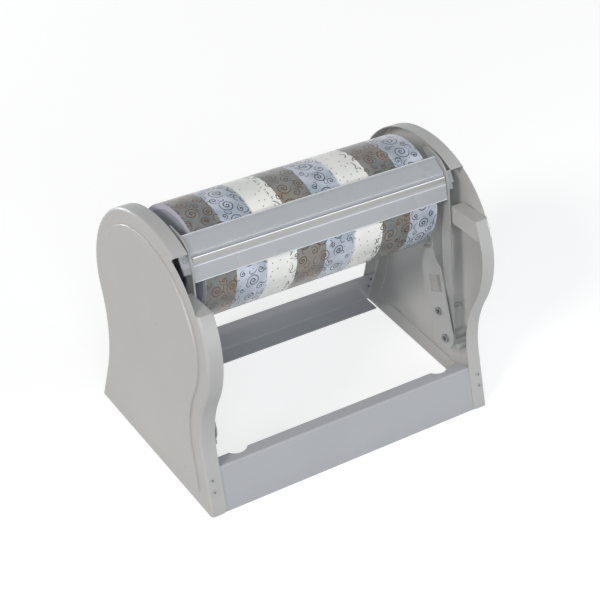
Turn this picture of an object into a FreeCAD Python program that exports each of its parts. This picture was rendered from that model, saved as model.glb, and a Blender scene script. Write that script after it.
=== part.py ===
import FreeCAD, Part
import math
import os

import Sketcher

# Gift wrap paper cutter for a shop counter. X runs along the roll, -Y is the customer's front and
# +Z is up. The origin lies on the counter, midway between the end panels.

V = FreeCAD.Vector
doc = FreeCAD.newDocument("GiftWrapCutter")
sheet = doc.addObject("Spreadsheet::Sheet", "Sizes")


class Size:
    """A length or an angle: its number, and the sheet expression that gives it."""

    def __init__(self, value, text):
        self.value = value
        self.text = text

    def __add__(self, other):
        other = as_size(other)
        return Size(self.value + other.value, "(%s + %s)" % (self.text, other.text))

    def __sub__(self, other):
        other = as_size(other)
        return Size(self.value - other.value, "(%s - %s)" % (self.text, other.text))

    def __mul__(self, other):
        other = as_size(other)
        return Size(self.value * other.value, "(%s * %s)" % (self.text, other.text))

    def __truediv__(self, other):
        other = as_size(other)
        return Size(self.value / other.value, "(%s / %s)" % (self.text, other.text))

    def __neg__(self):
        return Size(-self.value, "(0 - %s)" % self.text)


def as_size(number):
    return number if isinstance(number, Size) else Size(float(number), repr(float(number)))


def root(size):
    return Size(math.sqrt(size.value), "sqrt(%s)" % size.text)


def sine(angle):
    return Size(math.sin(math.radians(angle.value)), "sin(%s)" % angle.text)


def cosine(angle):
    return Size(math.cos(math.radians(angle.value)), "cos(%s)" % angle.text)


def size(alias, value):
    """Writes one driving dimension into the sheet."""
    row = size.row = size.row + 1
    sheet.set("A%d" % row, alias)
    sheet.set("B%d" % row, str(value))
    sheet.setAlias("B%d" % row, alias)
    return Size(value, "Sizes.%s" % alias)


size.row = 0

# The roll sets the span of the machine.
roll_width = size("roll_width", 480.0)
roll_side_room = size("roll_side_room", 60.0)

# Pressed end panels: sheet, turned rim, and the arcs of the outline, each hung on the one before.
sheet_wall = size("sheet_wall", 1.5)
rim_depth = size("rim_depth", 30.0)
bend_radius = size("bend_radius", 6.0)
rim_corner = size("rim_corner", 8.0)
crown_y = size("crown_y", 42.7)
crown_z = size("crown_z", 236.0)
crown_room = size("crown_room", 109.0)
belly_turn = size("belly_turn", 155.6)
belly_radius = size("belly_radius", 154.0)
front_waist_turn = size("front_waist_turn", 197.7)
front_waist_radius = size("front_waist_radius", 162.0)
front_foot_lean = size("front_foot_lean", 23.0)
back_turn = size("back_turn", 75.9)
back_radius = size("back_radius", 146.0)
back_waist_turn = size("back_waist_turn", -30.3)
back_waist_radius = size("back_waist_radius", 235.0)
back_foot_lean = size("back_foot_lean", 9.5)
field_inset = size("field_inset", 28.0)
field_rise = size("field_rise", 3.0)
field_edge_round = size("field_edge_round", 2.0)

# Gap in the rim, where the ends of the cutter bar pass, and the ledge that closes it below.
gap_top_angle = size("gap_top_angle", 113.0)
ledge_z = size("ledge_z", 369.0)
ledge_back_y = size("ledge_back_y", -57.0)
ledge_fall = size("ledge_fall", 4.5)
ledge_lip_drop = size("ledge_lip_drop", 31.5)
ledge_seam = size("ledge_seam", 1.2)

# Rails between the feet.
rail_wall = size("rail_wall", 2.0)
rail_end_gap = size("rail_end_gap", 6.5)
rail_bend = size("rail_bend", 3.5)
front_rail_height = size("front_rail_height", 76.0)
front_rail_ledge = size("front_rail_ledge", 22.0)
scallop_inset = size("scallop_inset", 82.0)
scallop_radius = size("scallop_radius", 24.0)
scallop_depth = size("scallop_depth", 9.0)
ledge_corner = size("ledge_corner", 12.0)
back_rail_height = size("back_rail_height", 75.0)
back_rail_shelf = size("back_rail_shelf", 36.0)
back_rail_lip = size("back_rail_lip", 6.0)
rail_screw_low = size("rail_screw_low", 40.0)
rail_screw_high = size("rail_screw_high", 60.0)
rail_screw_inset = size("rail_screw_inset", 12.0)
screw_shank = size("screw_shank", 2.4)
screw_head = size("screw_head", 3.6)
screw_head_height = size("screw_head_height", 1.8)
hole_clearance = size("hole_clearance", 0.15)

# The roll and its axle.
roll_y = size("roll_y", 48.0)
roll_z = size("roll_z", 346.0)
roll_radius = size("roll_radius", 103.0)
core_radius = size("core_radius", 38.0)
core_wall = size("core_wall", 3.0)
plug_flange_radius = size("plug_flange_radius", 45.0)
plug_flange_wall = size("plug_flange_wall", 5.0)
plug_reach = size("plug_reach", 30.0)
shaft_radius = size("shaft_radius", 7.0)
collar_radius = size("collar_radius", 13.0)
fit = size("fit", 0.05)
running_gap = size("running_gap", 0.3)

# Axle brackets: a tapered lower link, an upper link to the axle and a joggle between them.
bracket_wall = size("bracket_wall", 3.0)
bracket_inset = size("bracket_inset", 43.0)
bracket_joggle = size("bracket_joggle", 4.0)
joggle_start = size("joggle_start", 170.0)
bracket_foot_back = size("bracket_foot_back", 8.0)
bracket_foot_radius = size("bracket_foot_radius", 28.0)
bracket_knee_y = size("bracket_knee_y", -50.0)
bracket_knee_z = size("bracket_knee_z", 222.0)
bracket_knee_radius = size("bracket_knee_radius", 27.0)
neck_front_radius = size("neck_front_radius", 23.0)
neck_front_turn = size("neck_front_turn", 108.4)
neck_front_straight = size("neck_front_straight", 8.0)
neck_back_radius = size("neck_back_radius", 24.0)
neck_back_turn = size("neck_back_turn", 26.6)
neck_back_straight = size("neck_back_straight", 36.0)
bracket_head_radius = size("bracket_head_radius", 22.0)
bracket_lean = size("bracket_lean", 28.0)
window_y = size("window_y", -64.5)
window_z = size("window_z", 205.5)
window_wide = size("window_wide", 32.0)
window_tall = size("window_tall", 33.0)
spacer_along = size("spacer_along", 48.2559)
spacer_gap = size("spacer_gap", 0.813)
spacer_radius = size("spacer_radius", 4.0)
button_head = size("button_head", 8.0)
button_height = size("button_height", 3.0)
socket_radius = size("socket_radius", 4.5)
socket_depth = size("socket_depth", 2.2)
stop_pin_reach = size("stop_pin_reach", 25.0)
stop_pin_drop = size("stop_pin_drop", 6.0)
stop_pin_radius = size("stop_pin_radius", 6.0)
bush_wall = size("bush_wall", 4.0)
bush_flange = size("bush_flange", 2.0)
bush_height = size("bush_height", 15.0)

# Cutter arms, hung on their pivots.
pivot_inset = size("pivot_inset", 33.1607)
pivot_z = size("pivot_z", 114.0)
pivot_radius = size("pivot_radius", 4.0)
pivot_tail_radius = size("pivot_tail_radius", 3.2)
pivot_tail = size("pivot_tail", 16.0)
pivot_head_radius = size("pivot_head_radius", 8.0)
pivot_head_height = size("pivot_head_height", 4.0)
boss_radius = size("boss_radius", 9.0)
arm_inset = size("arm_inset", 34.5)
arm_wall = size("arm_wall", 3.0)
arm_heel_radius = size("arm_heel_radius", 13.5)
arm_shoulder_fore = size("arm_shoulder_fore", 42.0)
arm_shoulder_rise = size("arm_shoulder_rise", 42.0)
arm_shoulder_inset = size("arm_shoulder_inset", 47.0)
arm_tip_fore = size("arm_tip_fore", 24.0)
arm_tip_drop = size("arm_tip_drop", 11.0)
arm_tip_radius = size("arm_tip_radius", 6.0)
arm_lap = size("arm_lap", 17.0)
arm_bush_radius = size("arm_bush_radius", 7.0)
arm_bush_flange = size("arm_bush_flange", 9.5)

# Cutter bar, in the frame of the roll's axle: radial reach and tangential position.
bar_tilt = size("bar_tilt", 39.0)
carrier_wall = size("carrier_wall", 3.0)
carrier_half = size("carrier_half", 11.0)
carrier_reach = size("carrier_reach", 14.5)
lug_wide = size("lug_wide", 12.0)
lug_wall = size("lug_wall", 5.0)
lug_up = size("lug_up", 9.0)
lug_down = size("lug_down", -22.0)
plate_wall = size("plate_wall", 1.5)
plate_bend = size("plate_bend", 2.2)
hem_wide = size("hem_wide", 5.0)
plate_end_gap = size("plate_end_gap", 1.5)
upper_edge_drop = size("upper_edge_drop", 14.0)
upper_edge_up = size("upper_edge_up", 42.0)
upper_ridge_rise = size("upper_ridge_rise", 5.2)
upper_web_up = size("upper_web_up", 9.5)
upper_foot_up = size("upper_foot_up", 4.0)
lip_rise = size("lip_rise", 3.8)
lip_tip_up = size("lip_tip_up", 0.5)
land_top_up = size("land_top_up", -7.0)
land_bottom_up = size("land_bottom_up", -11.5)
lower_edge_drop = size("lower_edge_drop", 8.3)
lower_edge_up = size("lower_edge_up", -38.0)
blade_wall = size("blade_wall", 0.8)
blade_overhang = size("blade_overhang", 1.8)

half_span = roll_width / 2.0 + roll_side_room
crown_radius = roll_radius + crown_room
none = as_size(0.0)


def bind(thing, path, value):
    thing.setExpression(path, value.text)


def swung(y, z, reach, turn):
    """The point at a distance and an angle from another one."""
    return y + reach * cosine(turn), z + reach * sine(turn)


# Centres of the outline's arcs: the belly and the back touch the crown from inside, the waists from outside.
belly_y, belly_z = swung(crown_y, crown_z, crown_radius - belly_radius, belly_turn)
front_waist_y, front_waist_z = swung(belly_y, belly_z, belly_radius + front_waist_radius, front_waist_turn)
back_y, back_z = swung(crown_y, crown_z, crown_radius - back_radius, back_turn)
back_waist_y, back_waist_z = swung(back_y, back_z, back_radius + back_waist_radius, back_waist_turn)

# The arms' pivot stands behind the front waist. Each arm's back edge runs from its heel to the hollow that
# clears the roll, and the bracket's spacer stands behind that edge.
pivot_y = front_waist_y + front_waist_radius + pivot_inset
hollow_radius = roll_radius - arm_lap
span_y = roll_y - pivot_y
span_z = roll_z - pivot_z
span = root(span_y * span_y + span_z * span_z)
edge_sine = (arm_heel_radius + hollow_radius) / span
edge_cosine = root(as_size(1.0) - edge_sine * edge_sine)
edge_y = (span_y * edge_cosine - span_z * edge_sine) / span
edge_z = (span_z * edge_cosine + span_y * edge_sine) / span
spacer_off = arm_heel_radius + spacer_gap + spacer_radius
spacer_y = pivot_y + spacer_along * edge_y + spacer_off * edge_z
spacer_z = pivot_z + spacer_along * edge_z - spacer_off * edge_y


def front_foot_y(inset, height):
    """Y of the front foot's straight, set in from the outline, at a height."""
    reach = front_waist_radius + inset
    tangent_y = front_waist_y + reach * cosine(front_foot_lean)
    tangent_z = front_waist_z - reach * sine(front_foot_lean)
    return tangent_y - (tangent_z - height) * sine(front_foot_lean) / cosine(front_foot_lean)


def back_foot_y(inset, height):
    """Y of the back foot's straight, set in from the outline, at a height."""
    reach = back_waist_radius + inset
    tangent_y = back_waist_y - reach * cosine(back_foot_lean)
    tangent_z = back_waist_z - reach * sine(back_foot_lean)
    return tangent_y + (tangent_z - height) * sine(back_foot_lean) / cosine(back_foot_lean)


def crown_front_y(inset, height):
    """Y of the front side of the crown arc, set in from the outline, at a height."""
    reach = crown_radius - inset
    rise = height - crown_z
    return crown_y - root(reach * reach - rise * rise)


def at_angle(origin, radius, angle):
    return V(origin.x + radius * math.cos(angle), origin.y + radius * math.sin(angle), 0)


def angle_of(origin, point):
    return math.atan2(point.y - origin.y, point.x - origin.x)


def flat(y, z):
    return V(y.value, z.value, 0)


def new_body(label):
    body = doc.addObject("PartDesign::Body", label)
    body.Label = label
    return body


def new_sketch(body, role, name, offset=None):
    """A sketch on one of the body's own origin planes, moved along its normal."""
    sketch = body.newObject("Sketcher::SketchObject", name)
    plane = [item for item in body.Origin.OriginFeatures if item.Role == role][0]
    sketch.AttachmentSupport = [(plane, "")]
    sketch.MapMode = "FlatFace"
    if offset is not None:
        bind(sketch, "AttachmentOffset.Base.z", offset)
    return sketch


def constrain(sketch, *terms):
    """Adds a constraint; a trailing Size drives its value from the sheet."""
    if isinstance(terms[-1], Size):
        number = sketch.addConstraint(Sketcher.Constraint(*terms[:-1], terms[-1].value))
        bind(sketch, "Constraints[%d]" % number, terms[-1])
    else:
        sketch.addConstraint(Sketcher.Constraint(*terms))


def add_arc(sketch, centre, radius, start, end):
    """A counter-clockwise arc from one point to the other."""
    first = angle_of(centre, start)
    last = angle_of(centre, end)
    while last < first:
        last += 2 * math.pi
    circle = Part.Circle(centre, V(0, 0, 1), radius)
    return sketch.addGeometry(Part.ArcOfCircle(circle, first, last), False)


def add_polygon(sketch, points):
    """A closed polygon whose corners are driven from the sheet."""
    corners = [flat(y, z) for y, z in points]
    first = None
    for number, corner in enumerate(corners):
        following = corners[(number + 1) % len(corners)]
        line = sketch.addGeometry(Part.LineSegment(corner, following), False)
        first = line if first is None else first
    for number, (y, z) in enumerate(points):
        line = first + number
        constrain(sketch, "Coincident", line, 2, first + (number + 1) % len(points), 1)
        constrain(sketch, "DistanceX", line, 1, y)
        constrain(sketch, "DistanceY", line, 1, z)


def add_circle(sketch, y, z, radius):
    ring = sketch.addGeometry(Part.Circle(flat(y, z), V(0, 0, 1), radius.value), False)
    constrain(sketch, "DistanceX", ring, 3, y)
    constrain(sketch, "DistanceY", ring, 3, z)
    constrain(sketch, "Radius", ring, radius)


def add_belt(sketch, rounds):
    """A closed line drawn taut round circles (y, z, radius, side): side 1 turns left, -1 right."""
    count = len(rounds)
    centres = [flat(y, z) for y, z, radius, side in rounds]
    signed = [radius.value * side for y, z, radius, side in rounds]
    leave = [None] * count
    reach = [None] * count
    for number in range(count):
        following = (number + 1) % count
        span = centres[following] - centres[number]
        turn = math.asin((signed[following] - signed[number]) / span.Length)
        heading = math.atan2(span.y, span.x) - turn
        normal = V(-math.sin(heading), math.cos(heading), 0)
        leave[number] = centres[number] - normal * signed[number]
        reach[following] = centres[following] - normal * signed[following]
    arcs = []
    for number, (y, z, radius, side) in enumerate(rounds):
        start, end = (reach[number], leave[number]) if side > 0 else (leave[number], reach[number])
        arcs.append(add_arc(sketch, centres[number], radius.value, start, end))
        constrain(sketch, "DistanceX", arcs[-1], 3, y)
        constrain(sketch, "DistanceY", arcs[-1], 3, z)
        constrain(sketch, "Radius", arcs[-1], radius)
    for number in range(count):
        following = (number + 1) % count
        line = sketch.addGeometry(Part.LineSegment(leave[number], reach[following]), False)
        leaving = 2 if rounds[number][3] > 0 else 1
        reaching = 1 if rounds[following][3] > 0 else 2
        constrain(sketch, "Tangent", arcs[number], leaving, line, 1)
        constrain(sketch, "Tangent", line, 2, arcs[following], reaching)


def pad(body, sketch, length, name="Pad"):
    feature = body.newObject("PartDesign::Pad", name)
    feature.Profile = sketch
    bind(feature, "Length", length)
    doc.recompute()
    return feature


def pocket(body, sketch, depth, name="Pocket", forward=True):
    """Cuts along the sketch's normal, or against it, and makes sure that something was cut."""
    before = body.Shape.Volume
    feature = body.newObject("PartDesign::Pocket", name)
    feature.Profile = sketch
    feature.Reversed = forward
    bind(feature, "Length", depth)
    doc.recompute()
    if feature.Shape.Volume > before - 0.01:
        raise RuntimeError("%s %s cuts nothing" % (body.Label, name))
    return feature


def fillet(body, radius, chosen, name="Fillet"):
    """Rounds the edges of the body's tip for which chosen(edge) is true."""
    doc.recompute()
    base = body.Tip
    names = ["Edge%d" % (i + 1) for i, edge in enumerate(base.Shape.Edges) if chosen(edge)]
    if not names:
        raise RuntimeError("%s %s finds no edge" % (body.Label, name))
    feature = body.newObject("PartDesign::Fillet", name)
    feature.Base = (base, names)
    bind(feature, "Radius", radius)
    doc.recompute()
    return feature


def near(a, b, slack=0.02):
    return abs(a - b) < slack


def bend_at(y, z):
    """Chooses the long edge along X that passes through a point of the profile."""
    def chosen(edge):
        box = edge.BoundBox
        return box.XLength > half_span.value and near(box.YMin, y.value) and near(box.YMax, y.value) \
            and near(box.ZMin, z.value) and near(box.ZMax, z.value)
    return chosen


def any_of(*tests):
    return lambda edge: any(test(edge) for test in tests)


def rod(name, radius, length, x, y, z):
    """A cylinder along +X from x."""
    item = doc.addObject("Part::Cylinder", name)
    item.Placement = FreeCAD.Placement(V(0, 0, 0), FreeCAD.Rotation(V(0, 1, 0), 90))
    bind(item, "Radius", radius)
    bind(item, "Height", length)
    bind(item, "Placement.Base.x", x)
    bind(item, "Placement.Base.y", y)
    bind(item, "Placement.Base.z", z)
    return item


def leaning_rod(name, radius, length, angle, x, y, z):
    """A cylinder whose axis is Z turned about X by an angle."""
    item = doc.addObject("Part::Cylinder", name)
    item.Placement = FreeCAD.Placement(V(0, 0, 0), FreeCAD.Rotation(V(1, 0, 0), 10))
    bind(item, "Radius", radius)
    bind(item, "Height", length)
    bind(item, "Placement.Base.x", x)
    bind(item, "Placement.Base.y", y)
    bind(item, "Placement.Base.z", z)
    bind(item, "Placement.Rotation.Angle", angle)
    return item


def fuse(name, items):
    item = doc.addObject("Part::MultiFuse", name)
    item.Shapes = items
    return item


def cut(name, base, tool):
    item = doc.addObject("Part::Cut", name)
    item.Base = base
    item.Tool = tool
    return item


def group(name, items):
    item = doc.addObject("Part::Compound", name)
    item.Links = items
    return item


def mirrored(name, source):
    item = doc.addObject("Part::Mirroring", name)
    item.Source = source
    item.Base = V(0, 0, 0)
    item.Normal = V(1, 0, 0)
    return item


nodes = []


def node(item, label):
    """Marks an object as a piece of the product."""
    item.Label = label
    nodes.append(item)
    return item


def draw_panel_outline(sketch, inset, floor):
    """Closed panel outline set in by inset and ending at the height floor."""
    crown = flat(crown_y, crown_z)
    belly = flat(belly_y, belly_z)
    front_waist = flat(front_waist_y, front_waist_z)
    back = flat(back_y, back_z)
    back_waist = flat(back_waist_y, back_waist_z)
    crown_reach = crown_radius - inset
    belly_reach = belly_radius - inset
    front_waist_reach = front_waist_radius + inset
    back_reach = back_radius - inset
    back_waist_reach = back_waist_radius + inset
    front_joint = at_angle(crown, crown_reach.value, angle_of(crown, belly))
    front_turn = at_angle(belly, belly_reach.value, angle_of(belly, front_waist))
    front_low = at_angle(front_waist, front_waist_reach.value, -math.radians(front_foot_lean.value))
    front_foot = V(front_foot_y(inset, floor).value, floor.value, 0)
    back_foot = V(back_foot_y(inset, floor).value, floor.value, 0)
    back_low = at_angle(back_waist, back_waist_reach.value, math.pi + math.radians(back_foot_lean.value))
    back_turn = at_angle(back, back_reach.value, angle_of(back, back_waist))
    back_joint = at_angle(crown, crown_reach.value, angle_of(crown, back))
    crown_arc = add_arc(sketch, crown, crown_reach.value, back_joint, front_joint)
    belly_arc = add_arc(sketch, belly, belly_reach.value, front_joint, front_turn)
    front_arc = add_arc(sketch, front_waist, front_waist_reach.value, front_low, front_turn)
    front_line = sketch.addGeometry(Part.LineSegment(front_low, front_foot), False)
    base_line = sketch.addGeometry(Part.LineSegment(front_foot, back_foot), False)
    back_line = sketch.addGeometry(Part.LineSegment(back_foot, back_low), False)
    waist_arc = add_arc(sketch, back_waist, back_waist_reach.value, back_turn, back_low)
    back_arc = add_arc(sketch, back, back_reach.value, back_turn, back_joint)
    constrain(sketch, "Tangent", crown_arc, 2, belly_arc, 1)
    constrain(sketch, "Tangent", belly_arc, 2, front_arc, 2)
    constrain(sketch, "Tangent", front_arc, 1, front_line, 1)
    constrain(sketch, "Coincident", front_line, 2, base_line, 1)
    constrain(sketch, "Coincident", base_line, 2, back_line, 1)
    constrain(sketch, "Tangent", back_line, 2, waist_arc, 2)
    constrain(sketch, "Tangent", waist_arc, 1, back_arc, 1)
    constrain(sketch, "Tangent", back_arc, 2, crown_arc, 1)
    constrain(sketch, "DistanceX", crown_arc, 3, crown_y)
    constrain(sketch, "DistanceY", crown_arc, 3, crown_z)
    constrain(sketch, "Radius", crown_arc, crown_reach)
    constrain(sketch, "DistanceY", belly_arc, 3, belly_z)
    constrain(sketch, "Radius", belly_arc, belly_reach)
    constrain(sketch, "DistanceY", front_arc, 3, front_waist_z)
    constrain(sketch, "Radius", front_arc, front_waist_reach)
    constrain(sketch, "DistanceY", back_arc, 3, back_z)
    constrain(sketch, "Radius", back_arc, back_reach)
    constrain(sketch, "DistanceY", waist_arc, 3, back_waist_z)
    constrain(sketch, "Radius", waist_arc, back_waist_reach)
    constrain(sketch, "DistanceX", front_line, 2, front_foot_y(inset, floor))
    constrain(sketch, "DistanceY", front_line, 2, floor)
    constrain(sketch, "DistanceX", back_line, 1, back_foot_y(inset, floor))
    constrain(sketch, "DistanceY", back_line, 1, floor)


def draw_gap(sketch):
    """Band of the crown's rim between the gap's upper end and the ledge."""
    inner = crown_radius - bend_radius
    outer = crown_radius + rim_depth
    centre = flat(crown_y, crown_z)
    high = [(crown_y + reach * cosine(gap_top_angle), crown_z + reach * sine(gap_top_angle))
            for reach in (inner, outer)]
    low = [(crown_y - root(reach * reach - (ledge_z - crown_z) * (ledge_z - crown_z)), ledge_z)
           for reach in (inner, outer)]
    arcs = []
    for reach, top, bottom in ((inner, high[0], low[0]), (outer, high[1], low[1])):
        arcs.append(add_arc(sketch, centre, reach.value, flat(*top), flat(*bottom)))
        constrain(sketch, "DistanceX", arcs[-1], 3, crown_y)
        constrain(sketch, "DistanceY", arcs[-1], 3, crown_z)
        constrain(sketch, "Radius", arcs[-1], reach)
        constrain(sketch, "DistanceY", arcs[-1], 1, top[1])
        constrain(sketch, "DistanceY", arcs[-1], 2, bottom[1])
    top_line = sketch.addGeometry(Part.LineSegment(flat(*high[0]), flat(*high[1])), False)
    low_line = sketch.addGeometry(Part.LineSegment(flat(*low[0]), flat(*low[1])), False)
    constrain(sketch, "Coincident", top_line, 1, arcs[0], 1)
    constrain(sketch, "Coincident", top_line, 2, arcs[1], 1)
    constrain(sketch, "Coincident", low_line, 1, arcs[0], 2)
    constrain(sketch, "Coincident", low_line, 2, arcs[1], 2)


def draw_corner(sketch, x, radius):
    """What a round takes off the corner that stands on the counter at x."""
    arc = add_arc(sketch, flat(x + radius, radius), radius.value, flat(x, radius), flat(x + radius, none))
    foot = sketch.addGeometry(Part.LineSegment(flat(x + radius, none), flat(x, none)), False)
    side = sketch.addGeometry(Part.LineSegment(flat(x, none), flat(x, radius)), False)
    constrain(sketch, "Tangent", arc, 2, foot, 1)
    constrain(sketch, "Coincident", foot, 2, side, 1)
    constrain(sketch, "Tangent", side, 2, arc, 1)
    constrain(sketch, "Radius", arc, radius)
    constrain(sketch, "DistanceX", foot, 2, x)
    constrain(sketch, "DistanceY", foot, 2, none)
    constrain(sketch, "Horizontal", foot)
    constrain(sketch, "Vertical", side)


def follows_outline(x, inset):
    """Chooses the edges of the outline's arcs and feet that lie at one X."""
    def chosen(edge):
        box = edge.BoundBox
        if box.XLength > 0.01 or box.ZLength < 0.01 or not near(box.XMin, x.value):
            return False
        return on_outline(edge.valueAt((edge.FirstParameter + edge.LastParameter) / 2), inset)
    return chosen


def on_outline(point, inset):
    """Tells whether a point lies on one of the outline's curves, set in by inset."""
    circles = [(crown_y, crown_z, crown_radius - inset), (belly_y, belly_z, belly_radius - inset),
               (front_waist_y, front_waist_z, front_waist_radius + inset),
               (back_y, back_z, back_radius - inset),
               (back_waist_y, back_waist_z, back_waist_radius + inset)]
    for y, z, radius in circles:
        if near(math.hypot(point.y - y.value, point.z - z.value), radius.value):
            return True
    height = as_size(point.z)
    return near(point.y, front_foot_y(inset, height).value) or near(point.y, back_foot_y(inset, height).value)


def make_right_panel():
    body = new_body("right_panel_sheet")
    inner_x = half_span - rim_depth
    blank = new_sketch(body, "YZ_Plane", "PanelOutline", inner_x)
    draw_panel_outline(blank, none, none)
    pad(body, blank, rim_depth, "PanelBlank")
    hollow = new_sketch(body, "YZ_Plane", "TrayOutline", inner_x)
    draw_panel_outline(hollow, sheet_wall, -rim_depth)
    pocket(body, hollow, rim_depth - sheet_wall, "Tray")
    fillet(body, bend_radius - sheet_wall, follows_outline(half_span - sheet_wall, sheet_wall), "InnerBend")
    skin = sheet_wall / 2.0
    shelf = new_sketch(body, "YZ_Plane", "LedgeOutline", inner_x)
    shelf_low = ledge_z - sheet_wall
    shelf_back = ledge_z - ledge_fall
    add_polygon(shelf, [(ledge_back_y, shelf_back - sheet_wall), (ledge_back_y, shelf_back),
                        (crown_front_y(skin, ledge_z), ledge_z), (crown_front_y(skin, shelf_low), shelf_low)])
    pad(body, shelf, rim_depth - sheet_wall - ledge_seam, "Ledge")
    lip = new_sketch(body, "YZ_Plane", "LipOutline", inner_x)
    lip_low = ledge_z - ledge_lip_drop
    lip_mid = ledge_z - ledge_lip_drop / 2.0
    add_polygon(lip, [(ledge_back_y, lip_low - ledge_fall), (ledge_back_y, shelf_back),
                      (crown_front_y(skin, ledge_z), ledge_z), (crown_front_y(skin, lip_mid), lip_mid),
                      (crown_front_y(skin, lip_low), lip_low)])
    pad(body, lip, sheet_wall, "Lip")
    fillet(body, bend_radius, follows_outline(half_span, none), "OuterBend")
    field = new_sketch(body, "YZ_Plane", "FieldOutline", half_span)
    draw_panel_outline(field, field_inset, field_inset)
    pad(body, field, field_rise, "Field")
    fillet(body, field_edge_round, lambda edge: edge.BoundBox.XLength < 0.01
           and near(edge.BoundBox.XMin, (half_span + field_rise).value), "FieldEdge")
    back_of_field = new_sketch(body, "YZ_Plane", "FieldHollow", half_span - sheet_wall)
    draw_panel_outline(back_of_field, field_inset + sheet_wall, field_inset + sheet_wall)
    pocket(body, back_of_field, field_rise, "FieldHollowCut")
    gap = new_sketch(body, "YZ_Plane", "GapOutline", inner_x - rim_depth)
    draw_gap(gap)
    pocket(body, gap, rim_depth * 3.0, "RimGap")
    corners = new_sketch(body, "XZ_Plane", "CornerOutline", -(crown_y + crown_radius + rim_depth))
    draw_corner(corners, inner_x, rim_corner)
    pocket(body, corners, (crown_radius + rim_depth) * 3.0, "RimCorners")
    return body


def rail_screw_places():
    """Side, lean of the axis and seat (y, z) on the rim for each rail screw of one end panel."""
    places = []
    for height in (rail_screw_low, rail_screw_high):
        places.append(("front", as_size(90.0) - front_foot_lean, front_foot_y(none, height), height))
        places.append(("back", back_foot_lean - as_size(90.0), back_foot_y(none, height), height))
    return places


screw_x = half_span - rail_screw_inset
panel_sheet = make_right_panel()
front_screws = []
back_screws = []
holes = []
rail_holes = {"front": [], "back": []}
for sign, hand in ((1.0, "right"), (-1.0, "left")):
    for number, (side, lean, seat_y, seat_z) in enumerate(rail_screw_places()):
        tag = "%s_%s_%d" % (hand, side, number)
        through = sheet_wall + rail_wall
        tail = through + 4.0
        inward = seat_y + tail * sine(lean)
        downward = seat_z - tail * cosine(lean)
        x = screw_x * sign
        shank = leaning_rod("shank_" + tag, screw_shank, tail + 0.5, lean, x, inward, downward)
        head = leaning_rod("head_" + tag, screw_head, screw_head_height, lean, x, seat_y, seat_z)
        screw = fuse("screw_" + tag, [shank, head])
        (front_screws if side == "front" else back_screws).append(screw)
        hole = leaning_rod("hole_" + tag, screw_shank + hole_clearance, tail * 2.0, lean, x, inward, downward)
        rail_holes[side].append(hole)
        if sign > 0:
            holes.append(hole)
right_panel = node(cut("RightPanel", panel_sheet, fuse("PanelHoles", holes)), "right_end_panel")
left_panel = node(mirrored("LeftPanel", right_panel), "left_end_panel")


def make_front_rail():
    body = new_body("front_rail_sheet")
    reach = half_span - rail_end_gap
    section = new_sketch(body, "YZ_Plane", "RailSection", -reach)
    inner = sheet_wall + rail_wall
    top = front_rail_height
    under = top - rail_wall
    back_edge = front_foot_y(sheet_wall, top) + front_rail_ledge
    add_polygon(section, [(front_foot_y(sheet_wall, none), none), (front_foot_y(sheet_wall, top), top),
                          (back_edge, top), (back_edge, under), (front_foot_y(inner, under), under),
                          (front_foot_y(inner, none), none)])
    pad(body, section, reach * 2.0, "Rail")
    for hand, x in (("Right", half_span - scallop_inset), ("Left", scallop_inset - half_span)):
        scallop = new_sketch(body, "XY_Plane", hand + "Scallop", under - 1.0)
        add_circle(scallop, x, back_edge + scallop_radius - scallop_depth, scallop_radius)
        pocket(body, scallop, rail_wall + 2.0, hand + "ScallopCut")
    inside = half_span - rim_depth - 2.0
    for hand, near_x, far_x in (("Right", inside, reach + 1.0), ("Left", -inside, -reach - 1.0)):
        clear = new_sketch(body, "XY_Plane", hand + "End", under)
        front = front_foot_y(inner, under)
        add_polygon(clear, [(near_x, front), (far_x, front), (far_x, back_edge + 1.0),
                            (near_x, back_edge + 1.0)])
        pocket(body, clear, rail_wall + 1.0, hand + "EndCut")
    fillet(body, ledge_corner, lambda edge: edge.BoundBox.XLength < 0.01 and edge.BoundBox.YLength < 0.01
           and near(edge.BoundBox.YMin, back_edge.value)
           and near(abs(edge.BoundBox.XMin), inside.value), "LedgeCorners")
    fillet(body, rail_bend, bend_at(front_foot_y(sheet_wall, top), top), "RailBend")
    fillet(body, rail_bend - rail_wall, bend_at(front_foot_y(inner, under), under), "RailInnerBend")
    return body


def make_back_rail():
    body = new_body("back_rail_sheet")
    reach = half_span - rail_end_gap
    section = new_sketch(body, "YZ_Plane", "RailSection", -reach)
    inner = sheet_wall + rail_wall
    top = back_rail_height
    under = top - rail_wall
    lip_edge = back_foot_y(sheet_wall, top) - back_rail_lip
    shelf_edge = back_foot_y(sheet_wall, none) - back_rail_shelf
    add_polygon(section, [(back_foot_y(sheet_wall, none), none), (back_foot_y(sheet_wall, top), top),
                          (lip_edge, top), (lip_edge, under), (back_foot_y(inner, under), under),
                          (back_foot_y(inner, rail_wall), rail_wall), (shelf_edge, rail_wall),
                          (shelf_edge, none)])
    pad(body, section, reach * 2.0, "Rail")
    fillet(body, rail_bend, any_of(bend_at(back_foot_y(sheet_wall, none), none),
                                   bend_at(back_foot_y(sheet_wall, top), top)), "RailBend")
    fillet(body, rail_bend - rail_wall, any_of(bend_at(back_foot_y(inner, rail_wall), rail_wall),
                                               bend_at(back_foot_y(inner, under), under)), "RailInnerBend")
    return body


node(cut("FrontRail", make_front_rail(), fuse("FrontRailHoles", rail_holes["front"])), "front_rail")
node(cut("BackRail", make_back_rail(), fuse("BackRailHoles", rail_holes["back"])), "back_rail")
node(group("FrontRailScrews", front_screws), "front_rail_screws")
node(group("BackRailScrews", back_screws), "back_rail_screws")

bracket_x = half_span - bracket_inset - bracket_wall
bracket_back_x = half_span - bracket_inset
bracket_head_x = bracket_x + bracket_joggle
arm_x = half_span - arm_inset - arm_wall
panel_inner_x = half_span - sheet_wall


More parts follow.
